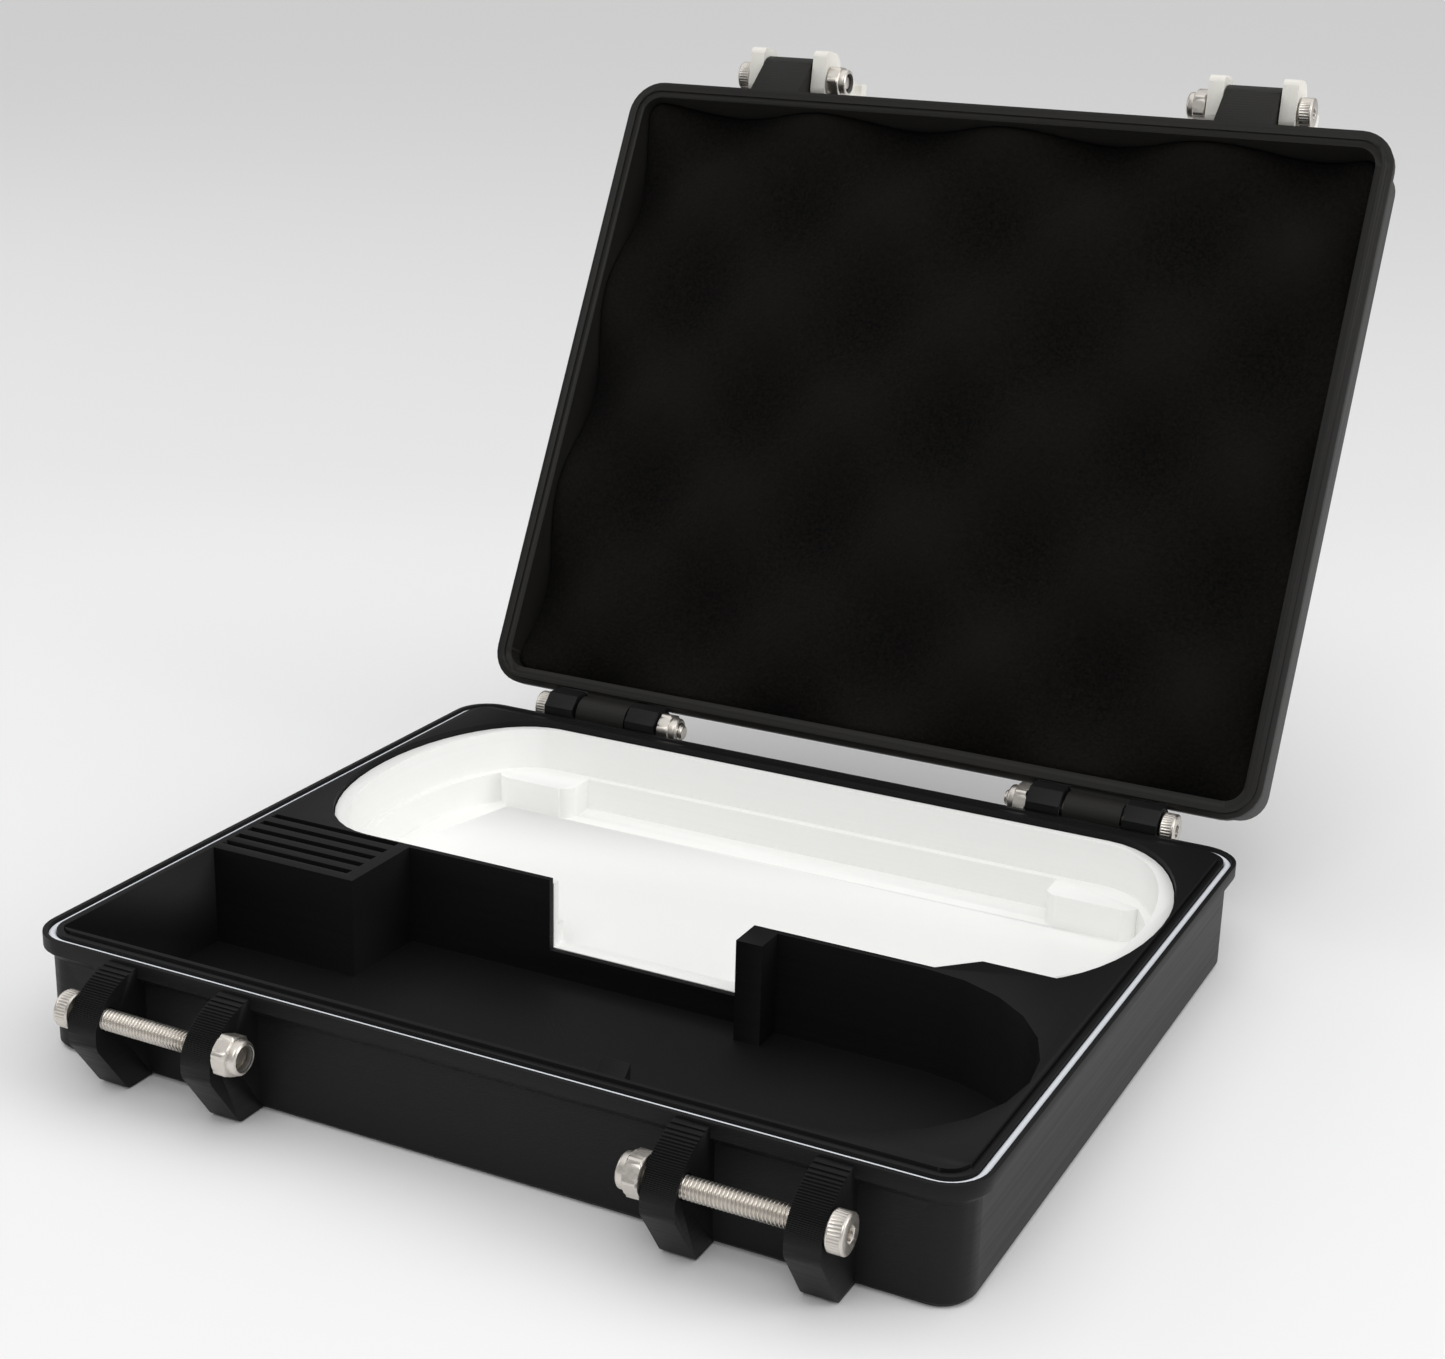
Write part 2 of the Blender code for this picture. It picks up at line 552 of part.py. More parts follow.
def organiser_insert():
    """Black insert with the tray's pocket, an open front pocket and a block of card slots."""
    low = FLOOR_THICKNESS + FIT_GAP
    floor = low + ORGANISER_FLOOR
    top = BASE_HEIGHT + ORGANISER_PROUD
    insert = rounded_block("organiser_insert", RIM_INNER + ORGANISER_GAP, low, top, parts)
    pocket = [tray_outline(0, 0, FIT_GAP)]
    cut(insert, plate("tray_pocket", pocket, floor, top + EXTRA, cutters))
    tray_front = tray_top_edge() - TRAY_LENGTH
    face = tray_front - FIT_GAP - DIVIDER_THICKNESS
    wall = RIM_INNER + ORGANISER_GAP + ORGANISER_WALL
    front = -HALF_DEPTH + wall
    left = -CASE_WIDTH / 2 + wall
    block_right = left + CARD_BLOCK_WIDTH
    block_front = face - CARD_BLOCK_DEPTH
    reach = (face - front) / 2
    centre = (CASE_WIDTH / 2 - wall - reach, (face + front) / 2)
    outline = [(left, front), *arc(centre, reach, -90, 90, 12), (block_right, face),
               (block_right, block_front), (left, block_front)]
    cut(insert, plate("front_pocket", [outline], floor, top + EXTRA, cutters))
    sill = BASE_HEIGHT - NOTCH_SILL
    post = [(NOTCH_RIGHT, face - POST_REACH), (NOTCH_RIGHT + POST_WIDTH, face - POST_REACH),
            (NOTCH_RIGHT + POST_WIDTH, tray_front - FIT_GAP), (NOTCH_RIGHT, tray_front - FIT_GAP)]
    join(insert, plate("post", [post], low, top, cutters))
    wedge = [(front - ORGANISER_WALL / 2, low), (front + WEDGE_REACH, low),
             (front + WEDGE_REACH, BASE_HEIGHT - WEDGE_DROP),
             (front - ORGANISER_WALL / 2, BASE_HEIGHT - WEDGE_DROP - WEDGE_REACH)]
    wedge_span = (NOTCH_RIGHT, NOTCH_RIGHT + POST_WIDTH)
    join(insert, plate("wedge", [wedge], *wedge_span, cutters, "X"))
    notch = [(NOTCH_LEFT, face - EXTRA), (NOTCH_RIGHT, face - EXTRA), (NOTCH_RIGHT, face + EXTRA),
             (NOTCH_LEFT, face + EXTRA)]
    cut(insert, plate("notch", [notch], sill, top + EXTRA, cutters))
    for i in range(CARD_COUNT):
        middle = face - CARD_PITCH * i
        slot = [(left, middle - CARD_SLOT / 2), (left + CARD_LENGTH, middle - CARD_SLOT / 2),
                (left + CARD_LENGTH, middle + CARD_SLOT / 2), (left, middle + CARD_SLOT / 2)]
        cut(insert, plate("card_slot", [slot], top - CARD_DEPTH, top + EXTRA, cutters))
    return finish(insert, black_insert)


def lid_foam():
    """Foam sheet filling the lid, as a plain solid that bounds its moulded peaks."""
    low = LID_FACE + FOAM_RECESS
    high = LID_TOP - LID_TOP_THICKNESS - FIT_GAP
    return finish(rounded_block("lid_foam", RIM_INNER + FIT_GAP, low, high, parts), black_foam)


# ---- Latches -------------------------------------------------------------------------------

def latch(name, side):
    """Hooked latch: two ears astride the lid lug and a lever with a slot for the catch screw."""
    pivot_x = side * LATCH_CENTRE
    inner = LID_LUG_WIDTH / 2 + LATCH_SIDE_GAP
    half_lever = CATCH_GAP / 2 - LEVER_SIDE_GAP
    lever = plate(name, [lever_outline()], pivot_x - half_lever, pivot_x + half_lever, parts, "X")
    for low, high in ((-inner - LATCH_EAR_WIDTH, -inner), (inner, inner + LATCH_EAR_WIDTH)):
        join(lever, plate("ear", [latch_ear_outline()], pivot_x + low, pivot_x + high, cutters, "X"))
    reach = inner + LATCH_EAR_WIDTH + EXTRA
    hole = SCREW_RADIUS + HOLE_GAP
    cut(lever, rod("hole", hole, pivot_x - reach, pivot_x + reach, PIVOT_Y, PIVOT_Z, cutters))
    return finish(lever, warm_plastic)


def lever_outline():
    """Side view of the lever. Its slot lies on an arc about the pivot, so it swings on freely."""
    catch_reach = math.hypot(CATCH_Y - PIVOT_Y, CATCH_Z - PIVOT_Z)
    slot = SCREW_RADIUS + HOLE_GAP
    end = catch_reach + TAB_LENGTH
    jaw = LATCH_FRONT - 1.0 * MM
    swing_low = math.asin(LATCH_FRONT / catch_reach)
    swing = [swing_low * (1 - i / 3) for i in range(4)]
    upper = [((catch_reach - slot) * math.sin(a), (catch_reach - slot) * math.cos(a)) for a in swing]
    lower = [((catch_reach + slot) * math.sin(a), (catch_reach + slot) * math.cos(a)) for a in reversed(swing)]
    pocket = arc((0, catch_reach), slot, 270, 90, 2 * ARC_STEPS)[1:-1]
    jaw_side = [(u, v) for u, v in lower if u < jaw] + [(jaw, (catch_reach + slot))]
    corners = [(LATCH_FRONT, LEVER_START + 2.4 * MM), *upper, *pocket, *jaw_side,
               (jaw, end), (-LATCH_BACK - TAB_FLARE, end), (-LATCH_BACK - TAB_FLARE, end - 2.6 * MM),
               (-LATCH_BACK, end - 5.4 * MM), (-LATCH_BACK, LEVER_START), (0.0, LEVER_START)]
    return [(PIVOT_Y + u, PIVOT_Z - v) for u, v in corners]


def latch_ear_outline():
    """Side view of an ear: flat upper end, and a rounded lobe towards the case."""
    below = LEVER_START + 3.4 * MM
    corners = [(-LATCH_BACK, -LATCH_TOP, 2.6 * MM), (LATCH_LOBE, -LATCH_TOP, 1.8 * MM),
               (LATCH_LOBE, LATCH_LOBE_END, 4.2 * MM), (LATCH_FRONT, LATCH_LOBE_END, 0),
               (LATCH_FRONT, below, 0), (-LATCH_BACK, below, 0)]
    return [(PIVOT_Y + u, PIVOT_Z - v) for u, v in rounded_polygon(corners)]


# ---- Fasteners -----------------------------------------------------------------------------

def screw(name, side, head_face, length, y, z):
    """Socket cap screw whose head's underside is at |X| = head_face, pointing to the middle."""
    head_end = head_face + HEAD_LENGTH
    made = rod(name, SCREW_RADIUS, side * (head_face + HEAD_LENGTH / 2), side * (head_face - length),
               y, z, parts)
    join(made, rod("head", HEAD_RADIUS, side * head_face, side * head_end, y, z, cutters))
    corner = SOCKET_FLATS / 2 / math.cos(math.radians(30))
    socket = (side * (head_end - SOCKET_DEPTH), side * (head_end + EXTRA))
    cut(made, rod("socket", corner, *socket, y, z, cutters, 6))
    return finish(made, steel)


def nut(name, side, outer_face, y, z):
    """Locking nut whose flat end is at |X| = outer_face, its collar towards the middle."""
    corner = NUT_FLATS / 2 / math.cos(math.radians(30))
    inner_face = outer_face - NUT_LENGTH
    collar = outer_face - NUT_HEX_LENGTH
    made = rod(name, corner, side * outer_face, side * collar, y, z, parts, 6)
    seat = SCREW_RADIUS + RING_WALL + 2 * RING_GAP
    collar_span = (side * (collar + 0.5 * MM), side * inner_face)
    join(made, rod("collar", seat + NUT_COLLAR_WALL, *collar_span, y, z, cutters))
    bore = SCREW_RADIUS + HOLE_GAP
    span = (side * (outer_face + EXTRA), side * (inner_face - EXTRA))
    cut(made, rod("bore", bore, *span, y, z, cutters))
    seat_span = (side * (inner_face + RING_LENGTH + 2 * RING_GAP), side * (inner_face - EXTRA))
    cut(made, rod("seat", seat, *seat_span, y, z, cutters))
    return finish(made, steel)


def nylon_ring(name, side, outer_face, y, z):
    """Nylon locking ring pressed into the nut's collar."""
    inner_face = outer_face - NUT_LENGTH
    span = (side * (inner_face + RING_LENGTH + RING_GAP), side * (inner_face + RING_GAP))
    ring = rod(name, SCREW_RADIUS + RING_GAP + RING_WALL, *span, y, z, parts)
    through = (side * (inner_face + RING_LENGTH + EXTRA), side * (inner_face - EXTRA))
    cut(ring, rod("bore", SCREW_RADIUS + RING_GAP, *through, y, z, cutters))
    return finish(ring, nylon)


def fastener_set(label, side_name, side, centre, half_grip, length, y, z):
    """A screw, its nut and the nut's nylon ring, clamped over a grip about |X| = centre."""
    head_face = centre + half_grip + FACE_GAP
    nut_face = centre - half_grip - FACE_GAP
    return [screw(f"{label}_screw_{side_name}", side, head_face, length, y, z),
            nut(f"{label}_nut_{side_name}", side, nut_face, y, z),
            nylon_ring(f"{label}_nylon_{side_name}", side, nut_face, y, z)]


# ---- Assembly ------------------------------------------------------------------------------

def empty_at(name, place):
    empty = bpy.data.objects.new(name, None)
    empty.location = place
    parts.objects.link(empty)
    bpy.context.view_layer.update()
    return empty


def attach(children, empty):
    """Parent objects to an empty, with their origins moved on to the empty's place."""
    place = empty.matrix_world.to_translation()
    for child in children:
        child.data.transform(Matrix.Translation(-place))
        child.parent = empty
        child.matrix_parent_inverse = Matrix.Identity(4)


def build():
    base_shell()
    gasket()
    organiser_insert()
    console_tray()
    on_lid = [lid_shell(), lid_foam()]
    latches = []
    hinge_grip = KNUCKLE_WIDTH / 2 + EAR_GAP + EAR_WIDTH
    catch_grip = CATCH_GAP / 2 + CATCH_LUG_WIDTH
    latch_grip = LID_LUG_WIDTH / 2 + LATCH_SIDE_GAP + LATCH_EAR_WIDTH
    for name, side in SIDES:
        fastener_set("hinge", name, side, HINGE_CENTRE, hinge_grip, LONG_SCREW, HINGE_Y, HINGE_Z)
        fastener_set("catch", name, side, LATCH_CENTRE, catch_grip, LONG_SCREW, CATCH_Y, CATCH_Z)
        on_lid += fastener_set("latch", name, side, LATCH_CENTRE, latch_grip, SHORT_SCREW,
                               PIVOT_Y, PIVOT_Z)
        latches.append((name, side, latch(f"latch_{name}", side)))
    lid_empty = empty_at("lid_hinge_axis", (0, HINGE_Y, HINGE_Z))
    attach(on_lid, lid_empty)
    for name, side, lever in latches:
        pivot = empty_at(f"latch_{name}_axis", (side * LATCH_CENTRE, PIVOT_Y, PIVOT_Z))
        attach([lever], pivot)
        pivot.parent = lid_empty
        pivot.location = pivot.location - lid_empty.location
        pivot.rotation_euler.x = math.radians(-LATCH_FOLD)
    lid_empty.rotation_euler.x = math.radians(-LID_OPEN)
    bpy.context.view_layer.update()


clear_scene()
parts = new_collection("handheld_console_case")
cutters = new_collection("cutters")
black_plastic = material("black_printed_plastic", (0.018, 0.018, 0.019), 0.62)
black_insert = material("black_insert_plastic", (0.014, 0.014, 0.015), 0.6)
white_plastic = material("white_printed_plastic", (0.86, 0.86, 0.84), 0.5)
warm_plastic = material("warm_white_plastic", (0.80, 0.78, 0.72), 0.5)
white_rubber = material("white_gasket_rubber", (0.80, 0.82, 0.85), 0.65)
steel = material("stainless_steel", (0.62, 0.59, 0.55), 0.28, 1.0)
nylon = material("nylon", (0.72, 0.72, 0.70), 0.5)
black_foam = material("black_foam", (0.008, 0.008, 0.008), 0.95)
build()
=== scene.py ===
import json
import math

import bmesh
import bpy
import numpy as np
from mathutils import Matrix, Vector


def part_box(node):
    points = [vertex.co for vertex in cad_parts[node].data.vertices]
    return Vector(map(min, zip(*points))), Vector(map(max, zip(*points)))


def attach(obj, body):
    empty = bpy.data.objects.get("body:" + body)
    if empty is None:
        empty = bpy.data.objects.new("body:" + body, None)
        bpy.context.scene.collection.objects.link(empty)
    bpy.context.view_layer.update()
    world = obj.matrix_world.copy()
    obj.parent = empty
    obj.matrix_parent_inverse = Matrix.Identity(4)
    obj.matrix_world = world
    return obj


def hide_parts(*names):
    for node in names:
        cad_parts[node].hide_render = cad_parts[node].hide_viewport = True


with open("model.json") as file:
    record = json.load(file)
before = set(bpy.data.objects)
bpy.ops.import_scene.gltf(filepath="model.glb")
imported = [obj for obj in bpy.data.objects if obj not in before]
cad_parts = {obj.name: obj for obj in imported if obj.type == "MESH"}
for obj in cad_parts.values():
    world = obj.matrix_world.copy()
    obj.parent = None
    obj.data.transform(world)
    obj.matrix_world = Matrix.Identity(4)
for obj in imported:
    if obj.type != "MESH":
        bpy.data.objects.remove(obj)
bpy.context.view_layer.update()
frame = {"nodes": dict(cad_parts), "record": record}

mm = 0.001
tau = 2 * math.pi

# The case, in mm and degrees: the same sizes as the CAD, for the pieces that are made again here.
case = {"width": 186.0, "depth": 151.4, "baseHeight": 23.0, "lidHeight": 17.5,
        "cornerRadius": 8.0, "rimGap": 0.3, "lipOuter": 0.9, "groove": 1.64, "lipInner": 1.26,
        "lidTop": 2.0, "lidOpen": 117.0, "latchFold": 162.0}
rimInner = case["lipOuter"] + case["groove"] + case["lipInner"]
lidFace = case["baseHeight"] + case["rimGap"]
hingePoint = np.array(next(j["pos_m"] for j in frame["record"]["behaviour"]["joints"]
                           if j["name"] == "lid_hinge"))
bodyOfNode = {node: body for body, nodes in frame["record"]["behaviour"]["bodies"].items()
              for node in nodes}


def srgb(code):
    # hex sRGB to linear: c/12.92 up to 0.04045, else ((c + 0.055)/1.055) to the power 2.4
    shares = [int(code[i:i + 2], 16) / 255 for i in (1, 3, 5)]
    linear = [c / 12.92 if c <= 0.04045 else ((c + 0.055) / 1.055) ** 2.4 for c in shares]
    return (*linear, 1.0)


def addNode(tree, kind, settings=None, **links):
    # One node. Its settings go by attribute, socket name or socket number, and its links are
    # given as socket=(node, output), with _0 for socket number 0.
    node = tree.nodes.new(kind)
    for key, value in (settings or {}).items():
        if isinstance(key, int) or key in node.inputs:
            node.inputs[key].default_value = value
        else:
            setattr(node, key, value)
    for key, (source, output) in links.items():
        socket = int(key[1:]) if key[0] == "_" else key.replace("_", " ")
        tree.links.new(source.outputs[output], node.inputs[socket])
    return node


def blend(tree, dark, light, **links):
    # a colour between two tones, by the share linked to it
    return addNode(tree, "ShaderNodeMix", {"data_type": "RGBA", 6: srgb(dark), 7: srgb(light)},
                   **links)


def noise(tree, size, detail, coords):
    # soft noise in the piece's own coordinates, size in mm
    return addNode(tree, "ShaderNodeTexNoise", {"Scale": 1 / (size * mm), "Detail": detail},
                   Vector=(coords, "Object"))


def newMaterial(name):
    made = bpy.data.materials.new(name)
    made.use_nodes = True
    tree = made.node_tree
    return made, tree, tree.nodes["Principled BSDF"]


def toRest(points, degrees=-case["lidOpen"]):
    # closed lid to open lid: a turn about X through the hinge pin by minus the opening angle
    a = math.radians(degrees)
    y, z = points[..., 1] - hingePoint[1], points[..., 2] - hingePoint[2]
    return np.stack([points[..., 0], hingePoint[1] + y * math.cos(a) - z * math.sin(a),
                     hingePoint[2] + y * math.sin(a) + z * math.cos(a)], -1)


def gridPiece(name, points, material, sharp=35, closedRows=False, poles=False):
    # A grid of points (rows, around, xyz) that closes around, and along its rows where asked.
    # With poles, the first and last rows each shrink to one point.
    rows, around = points.shape[:2]
    index = np.arange(rows * around).reshape(rows, around)
    if closedRows:
        index = np.vstack([index, index[:1]])
    a, b = index[:-1], index[1:]
    faces = np.stack([a, np.roll(a, -1, 1), np.roll(b, -1, 1), b], -1).reshape(-1, 4)
    mesh = bpy.data.meshes.new(name)
    mesh.from_pydata(points.reshape(-1, 3).tolist(), [], faces.tolist())
    work = bmesh.new()
    work.from_mesh(mesh)
    bmesh.ops.remove_doubles(work, verts=work.verts, dist=1e-7)
    if not closedRows and not poles:
        bmesh.ops.holes_fill(work, edges=[e for e in work.edges if e.is_boundary])
    bmesh.ops.recalc_face_normals(work, faces=work.faces)
    work.to_mesh(mesh)
    work.free()
    mesh.shade_smooth()
    mesh.set_sharp_from_angle(angle=math.radians(sharp))
    return addPiece(name, mesh, material)


def addPiece(name, mesh, material):
    piece = bpy.data.objects.new(name, mesh)
    bpy.context.scene.collection.objects.link(piece)
    mesh.materials.clear()
    mesh.materials.append(material)
    return piece


def standFor(piece, node):
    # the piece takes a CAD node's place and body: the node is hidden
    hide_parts(node)
    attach(piece, bodyOfNode[node])


# For every print: how much its lines waver, how big its patches of tone are, the raster's width
# in mm, how level a face must be to show raster lines, and the spread of the patches' noise.
printing = {"waver": 0.4, "waverScale": 0.2, "patch": 18, "patchLayers": 0.55, "raster": 0.45,
            "rasterWaver": 0.3, "flatFrom": 0.9, "flatTo": 0.98, "driftLow": 0.3, "driftHigh": 0.7}


def printedPlastic(name, look, turn=0.0, layersAlongX=False):
    # PETG or PLA laid down by a nozzle: fine layer lines round the walls, crossed raster lines on
    # the flats, a slow change of tone from layer to layer, and a soft sheen.
    made, tree, shader = newMaterial(name)
    coords = addNode(tree, "ShaderNodeTexCoord")
    turned = addNode(tree, "ShaderNodeMapping", {"Rotation": (math.radians(turn), 0, 0)},
                     Vector=(coords, "Object"))
    if layersAlongX:
        turned = addNode(tree, "ShaderNodeMapping", {"Rotation": (0, math.radians(-90), 0)},
                         Vector=(turned, "Vector"))
    # a sine band repeats every tau/(20 scale), so this scale gives one band per layer
    layers = addNode(tree, "ShaderNodeTexWave",
                     {"bands_direction": "Z", "Scale": tau / 20 / (look["layer"] * mm),
                      "Distortion": printing["waver"], "Detail": 1.0,
                      "Detail Scale": printing["waverScale"]},
                     Vector=(turned, "Vector"))
    along = printing["patchLayers"] / (look["layer"] * mm)
    stretched = addNode(tree, "ShaderNodeMapping",
                        {"Scale": (printing["patch"], printing["patch"], along)},
                        Vector=(turned, "Vector"))
    drift = addNode(tree, "ShaderNodeTexNoise", {"Scale": 1.0, "Detail": 2.0},
                    Vector=(stretched, "Vector"))
    grain = addNode(tree, "ShaderNodeTexNoise",
                    {"Scale": 1 / (look["grain"] * mm), "Detail": 3.0}, Vector=(turned, "Vector"))
    # diagonal bands: the spacing along each of the two axes is root 2 times the raster's
    raster = addNode(tree, "ShaderNodeTexWave",
                     {"bands_direction": "DIAGONAL",
                      "Scale": tau / 10 / math.sqrt(2) / (printing["raster"] * mm),
                      "Distortion": printing["rasterWaver"]}, Vector=(turned, "Vector"))
    angle = math.radians(-turn)
    upward = (1, 0, 0) if layersAlongX else (0, -math.sin(angle), math.cos(angle))
    facing = addNode(tree, "ShaderNodeVectorMath", {"operation": "DOT_PRODUCT", 1: upward},
                     _0=(coords, "Normal"))
    flat = addNode(tree, "ShaderNodeMath", {"operation": "ABSOLUTE"}, _0=(facing, "Value"))
    onFlats = addNode(tree, "ShaderNodeMapRange",
                      {"From Min": printing["flatFrom"], "From Max": printing["flatTo"]},
                      Value=(flat, 0))
    rasterHeight = addNode(tree, "ShaderNodeMath", {"operation": "MULTIPLY"}, _0=(raster, "Fac"),
                           _1=(onFlats, 0))
    lines = addNode(tree, "ShaderNodeMath", {"operation": "ADD"}, _0=(layers, "Fac"),
                    _1=(rasterHeight, 0))
    uneven = addNode(tree, "ShaderNodeMath", {"operation": "MULTIPLY_ADD", 1: look["driftShare"]},
                     _0=(drift, "Fac"), _2=(lines, 0))
    height = addNode(tree, "ShaderNodeMath", {"operation": "MULTIPLY_ADD", 1: look["grainShare"]},
                     _0=(grain, "Fac"), _2=(uneven, 0))
    bump = addNode(tree, "ShaderNodeBump",
                   {"Strength": look["bump"], "Distance": look["relief"] * mm}, Height=(height, 0))
    tones = blend(tree, look["dark"], look["light"], _0=(drift, "Fac"))
    rough = addNode(tree, "ShaderNodeMapRange",
                    {"From Min": printing["driftLow"], "From Max": printing["driftHigh"],
                     "To Min": look["rough"][0], "To Max": look["rough"][1]},
                    Value=(drift, "Fac"))
    tree.links.new(tones.outputs[2], shader.inputs["Base Color"])
    tree.links.new(rough.outputs[0], shader.inputs["Roughness"])
    tree.links.new(bump.outputs[0], shader.inputs["Normal"])
    shader.inputs["Specular IOR Level"].default_value = look["specular"]
    return made


# each print's tones, sheen, layer height and grain in mm, and how rough its surface is
blackShell = {"dark": "#101011", "light": "#141415", "specular": 0.2, "layer": 0.32,
              "grain": 0.35, "grainShare": 0.5, "bump": 0.45, "relief": 0.03,
              "driftShare": 0.35, "rough": (0.46, 0.53)}
# the lid: the base's black print drawn lighter and warmer, as painted light for the light its rim
# and faces catch
blackLidPaintedLight = {**blackShell, "dark": "#1c1b1a", "light": "#22211f"}
blackInsert = {"dark": "#0d0d0e", "light": "#111112", "specular": 0.18, "layer": 0.3,
               "grain": 0.3, "grainShare": 0.6, "bump": 0.4, "relief": 0.03,
               "driftShare": 0.35, "rough": (0.5, 0.57)}
whiteTray = {"dark": "#fafaf8", "light": "#fefefc", "specular": 0.5, "layer": 0.3,
             "grain": 0.5, "grainShare": 0.3, "bump": 0.22, "relief": 0.02,
             "driftShare": 0.5, "rough": (0.4, 0.5)}
warmLatch = {"dark": "#eceae1", "light": "#f5f3ec", "specular": 0.5, "layer": 0.35,
             "grain": 0.5, "grainShare": 0.4, "bump": 0.25, "relief": 0.025,
             "driftShare": 0.5, "rough": (0.42, 0.55)}

cordLook = {"dark": "#dfe3ea", "light": "#eef1f6", "grain": 0.5, "bump": 0.2, "relief": 0.02,
            "rough": 0.55, "ior": 1.41}


def gasketRubber():
    # cast silicone cord, cool white: a soft sheen and a faint dusty grain
    made, tree, shader = newMaterial("siliconeGasket")
    coords = addNode(tree, "ShaderNodeTexCoord")
    grain = noise(tree, cordLook["grain"], 3.0, coords)
    tone = blend(tree, cordLook["dark"], cordLook["light"], _0=(grain, "Fac"))
    bump = addNode(tree, "ShaderNodeBump",
                   {"Strength": cordLook["bump"], "Distance": cordLook["relief"] * mm},
                   Height=(grain, "Fac"))
    tree.links.new(tone.outputs[2], shader.inputs["Base Color"])
    tree.links.new(bump.outputs[0], shader.inputs["Normal"])
    shader.inputs["Roughness"].default_value = cordLook["rough"]
    shader.inputs["IOR"].default_value = cordLook["ior"]
    return made


steelLook = {"dark": "#cdc7bf", "light": "#e2ddd6", "scratch": 0.6, "patch": 2.5,
             "bump": 0.06, "relief": 0.01, "rough": (0.3, 0.44), "from": (0.3, 0.7)}


def stainlessSteel():
    # A2 stainless, cold headed and tumbled: warm grey, fairly bright, with fine scratches
    # and slightly darker patches
    made, tree, shader = newMaterial("stainlessSteelTumbled")
    coords = addNode(tree, "ShaderNodeTexCoord")
    scratches = noise(tree, steelLook["scratch"], 3.0, coords)
    patches = noise(tree, steelLook["patch"], 2.0, coords)
    tone = blend(tree, steelLook["dark"], steelLook["light"], _0=(patches, "Fac"))
    rough = addNode(tree, "ShaderNodeMapRange",
                    {"From Min": steelLook["from"][0], "From Max": steelLook["from"][1],
                     "To Min": steelLook["rough"][0], "To Max": steelLook["rough"][1]},
                    Value=(scratches, "Fac"))
    bump = addNode(tree, "ShaderNodeBump",
                   {"Strength": steelLook["bump"], "Distance": steelLook["relief"] * mm},
                   Height=(scratches, "Fac"))
    tree.links.new(tone.outputs[2], shader.inputs["Base Color"])
    tree.links.new(rough.outputs[0], shader.inputs["Roughness"])
    tree.links.new(bump.outputs[0], shader.inputs["Normal"])
    shader.inputs["Metallic"].default_value = 1.0
    return made


nylonLook = {"dark": "#4a4a47", "light": "#5c5b58", "cloud": 0.8, "rough": 0.4, "ior": 1.53}


def nylonRing():
    # nylon 66 dyed dark grey, moulded, with a faint cloudiness
    made, tree, shader = newMaterial("greyNylon")
    coords = addNode(tree, "ShaderNodeTexCoord")
    cloud = noise(tree, nylonLook["cloud"], 2.0, coords)
    tone = blend(tree, nylonLook["dark"], nylonLook["light"], _0=(cloud, "Fac"))
    tree.links.new(tone.outputs[2], shader.inputs["Base Color"])
    shader.inputs["Roughness"].default_value = nylonLook["rough"]
    shader.inputs["IOR"].default_value = nylonLook["ior"]
    return made


# the cells and the speckle are drawn larger than the real 0.5 mm, so that they show
# pit and peakLight are painted shade and painted light: dark pits and lighter peaks
foamLook = {"pit": "#060606", "peakLight": "#1a1815", "lit": "#181614", "cell": 0.9, "speckle": 0.7,
            "patch": 22, "litFrom": 0.35, "litTo": 0.7, "bump": 0.6, "relief": 0.25,
            "rough": 0.95, "specular": 0.06, "sheen": 0.015, "sheenRough": 0.5}


def openCellFoam():
    # black polyurethane foam with open cells: no gloss, painted light on the peaks and painted
    # shade in the pits, in random patches, and a speckle of painted highlights on lit cell walls
    made, tree, shader = newMaterial("blackPolyurethaneFoam")
    coords = addNode(tree, "ShaderNodeTexCoord")
    cells = addNode(tree, "ShaderNodeTexVoronoi", {"Scale": 1 / (foamLook["cell"] * mm)},
                    Vector=(coords, "Object"))
    speckle = noise(tree, foamLook["speckle"], 4.0, coords)
    speckle.inputs["Roughness"].default_value = 0.7
    patchy = noise(tree, foamLook["patch"], 3.0, coords)
    # painted light and shade: the tone goes from the dark pits to the lighter peaks, by nearness to
    # a peak times random patches
    peak = addNode(tree, "ShaderNodeAttribute", {"attribute_name": "peak"})
    peakLightShare = addNode(tree, "ShaderNodeMath", {"operation": "MULTIPLY"}, _0=(patchy, "Fac"),
                    _1=(peak, "Fac"))
    peakAndPitShade = blend(tree, foamLook["pit"], foamLook["peakLight"], _0=(peakLightShare, 0))
    # painted highlights: the speckle mixes in the lit tone, as lit cell walls
    share = addNode(tree, "ShaderNodeMapRange",
                    {"From Min": foamLook["litFrom"], "From Max": foamLook["litTo"]},
                    Value=(speckle, "Fac"))
    lit = addNode(tree, "ShaderNodeMix", {"data_type": "RGBA", 7: srgb(foamLook["lit"])},
                  _0=(share, 0), _6=(peakAndPitShade, 2))
    height = addNode(tree, "ShaderNodeMath", {"operation": "ADD"}, _0=(cells, "Distance"),
                     _1=(speckle, "Fac"))
    bump = addNode(tree, "ShaderNodeBump",
                   {"Strength": foamLook["bump"], "Distance": foamLook["relief"] * mm},
                   Height=(height, 0))
    tree.links.new(lit.outputs[2], shader.inputs["Base Color"])
    tree.links.new(bump.outputs[0], shader.inputs["Normal"])
    shader.inputs["Roughness"].default_value = foamLook["rough"]
    shader.inputs["Specular IOR Level"].default_value = foamLook["specular"]
    shader.inputs["Sheen Weight"].default_value = foamLook["sheen"]
    shader.inputs["Sheen Roughness"].default_value = foamLook["sheenRough"]
    return made


print("materials")
baseBlack = printedPlastic("blackPrintedPetg", blackShell)
